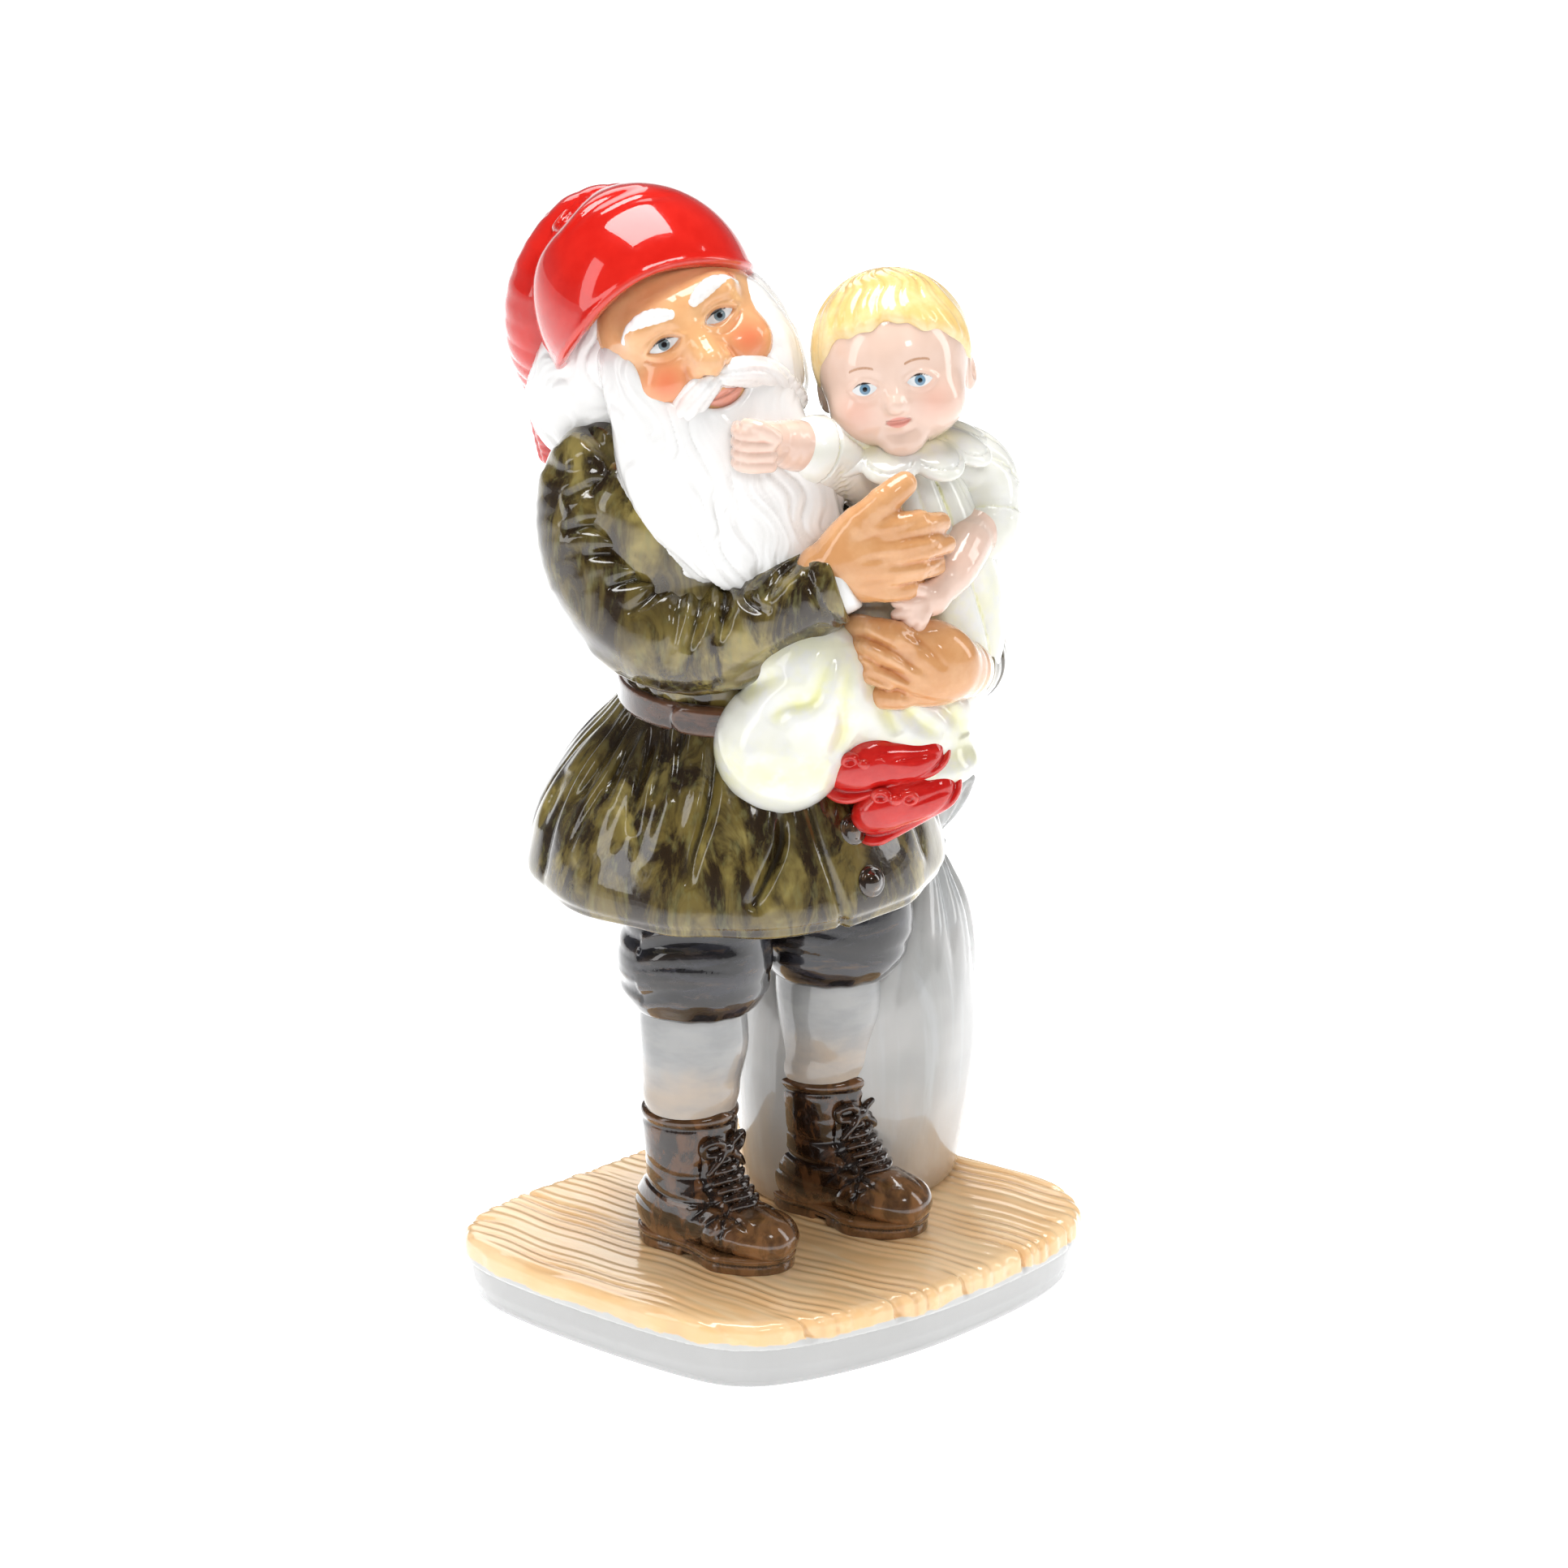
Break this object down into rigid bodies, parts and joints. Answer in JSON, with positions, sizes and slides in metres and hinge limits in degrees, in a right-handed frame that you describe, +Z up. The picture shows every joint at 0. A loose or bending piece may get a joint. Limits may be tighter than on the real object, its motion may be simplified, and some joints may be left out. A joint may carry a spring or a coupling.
{
  "type": "gnome figurine",
  "caption": "Glazed porcelain gnome in a cap, belted coat and laced boots, holding a baby beside a tied sack on a floorboard plinth.",
  "frame": {"origin": "centre of the plinth's flat underside", "axes": "+Z up, -Y the way the gnome's boots point, +X towards the gnome's left hand side"},
  "size_m": [0.1031, 0.0974, 0.2319],
  "materials": {
    "white_glaze": "clear gloss glaze over white porcelain",
    "floor_glaze": "glossy caramel glaze brushed over carved wood grain",
    "boot_glaze": "glossy dark brown glaze, amber where it thins",
    "lace_glaze": "glossy near black brown glaze",
    "stocking_glaze": "glossy pale grey glaze",
    "breeches_glaze": "glossy black brown glaze with a slate sheen",
    "coat_glaze": "glossy olive glaze mottled with dark brown brush marks",
    "belt_glaze": "glossy dark red brown glaze",
    "button_glaze": "glossy brown glaze",
    "skin_glaze": "glossy warm tan painted skin",
    "hair_glaze": "glossy white porcelain, grey in the grooves",
    "cap_glaze": "glossy bright red glaze",
    "sack_glaze": "glossy grey white glaze, beige at the foot",
    "baby_skin_glaze": "glossy pale pink painted skin",
    "baby_hair_glaze": "glossy straw yellow glaze",
    "romper_glaze": "glossy white with pale yellow green in the folds",
    "shoe_glaze": "glossy bright red glaze"
  },
  "bodies": {
    "root": {"base_foot": "white_glaze", "floorboards": "floor_glaze", "right_sole": "boot_glaze", "left_sole": "boot_glaze", "right_boot": "boot_glaze", "left_boot": "boot_glaze", "right_laces": "lace_glaze", "left_laces": "lace_glaze", "right_stocking": "stocking_glaze", "left_stocking": "stocking_glaze", "right_breeches": "breeches_glaze", "left_breeches": "breeches_glaze", "coat_skirt": "coat_glaze", "coat_body": "coat_glaze", "belt": "belt_glaze", "buttons": "button_glaze", "right_sleeve": "coat_glaze", "left_sleeve": "coat_glaze", "right_shirt_cuff": "white_glaze", "left_shirt_cuff": "white_glaze", "right_hand": "skin_glaze", "left_hand": "skin_glaze", "head": "skin_glaze", "eyebrows": "hair_glaze", "moustache": "hair_glaze", "beard": "hair_glaze", "hair": "hair_glaze", "cap": "cap_glaze", "cap_tail": "cap_glaze", "sack": "sack_glaze", "sack_tie": "sack_glaze", "baby_romper": "romper_glaze", "baby_bloomers": "romper_glaze", "baby_collar": "romper_glaze", "baby_head": "baby_skin_glaze", "baby_hair": "baby_hair_glaze", "baby_right_sleeve": "romper_glaze", "baby_left_sleeve": "romper_glaze", "baby_right_arm": "baby_skin_glaze", "baby_left_arm": "baby_skin_glaze", "baby_right_shoe": "shoe_glaze", "baby_left_shoe": "shoe_glaze", "shoe_bows": "shoe_glaze"}
  },
  "joints": []
}
